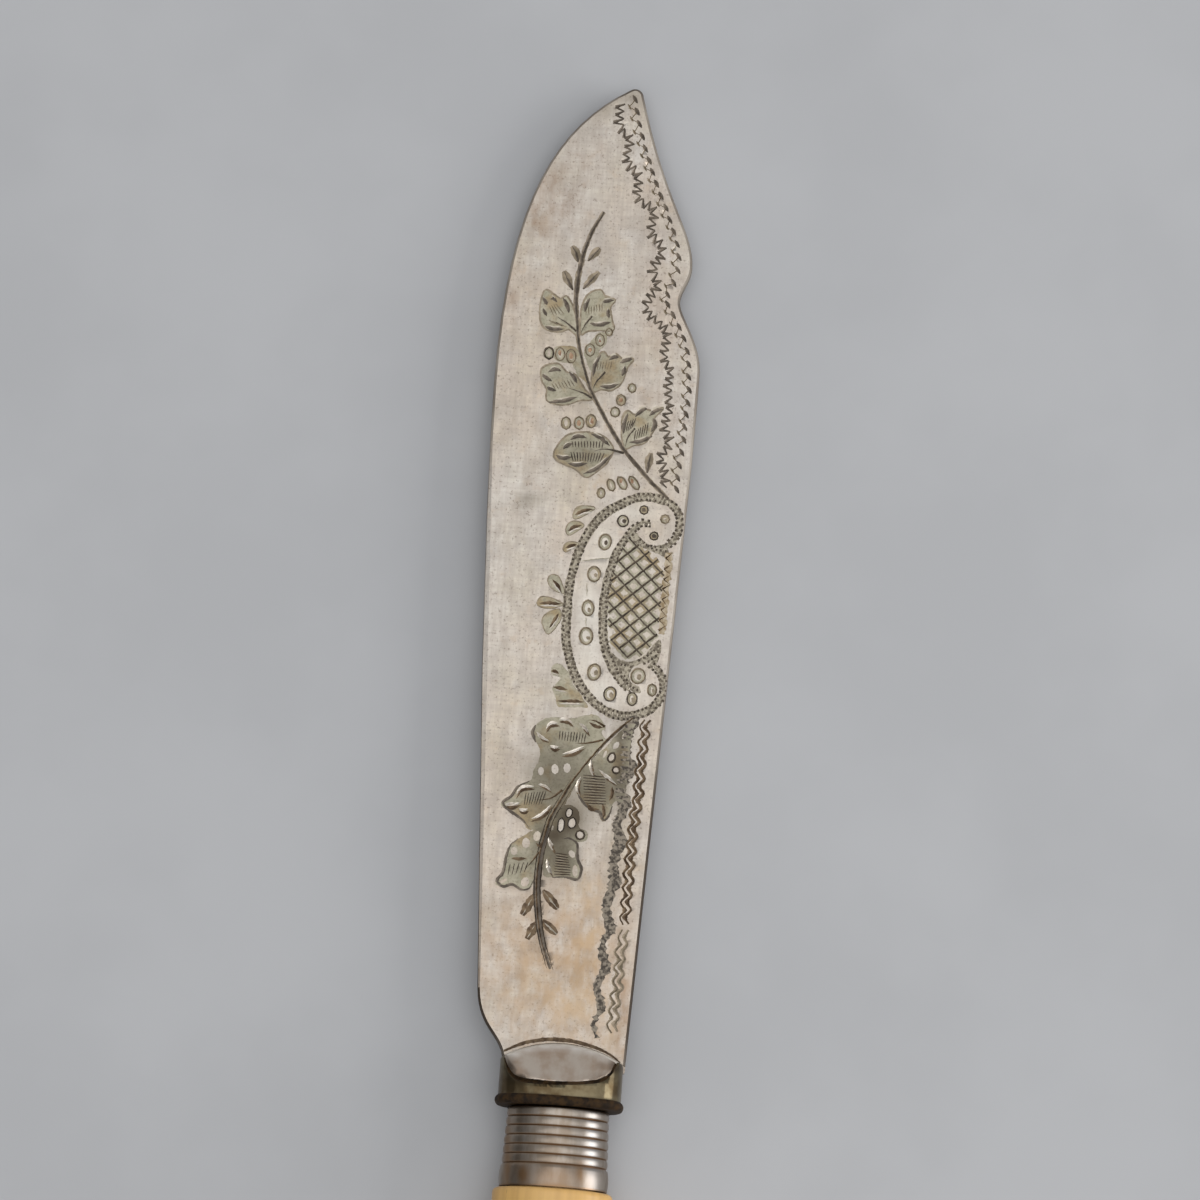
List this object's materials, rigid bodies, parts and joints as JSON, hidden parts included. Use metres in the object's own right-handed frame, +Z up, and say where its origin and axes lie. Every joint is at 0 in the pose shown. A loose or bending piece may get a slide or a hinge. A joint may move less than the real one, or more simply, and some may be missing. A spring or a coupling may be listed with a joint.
{
  "type": "butter spreader",
  "caption": "Table knife for spreading butter, with a flat notched blade in an oval bolster, a reeded ferrule and an oval bone handle.",
  "frame": {"origin": "middle of the bottom of the box, on the table that the knife lies on", "axes": "+Y along the knife towards the blade's tip, +X towards the spine, +Z up out of the ornamented face"},
  "size_m": [0.0206, 0.2034, 0.0124],
  "materials": {
    "silver_plate": "satin",
    "nickel_silver": "satin",
    "tang_steel": "matte",
    "ferrule_silver": "gloss",
    "bone": "satin",
    "resin": "matte"
  },
  "bodies": {
    "root": {"blade": "silver_plate", "bolster": "nickel_silver", "tang": "tang_steel", "ferrule": "ferrule_silver", "handle": "bone", "cement": "resin"}
  },
  "joints": []
}
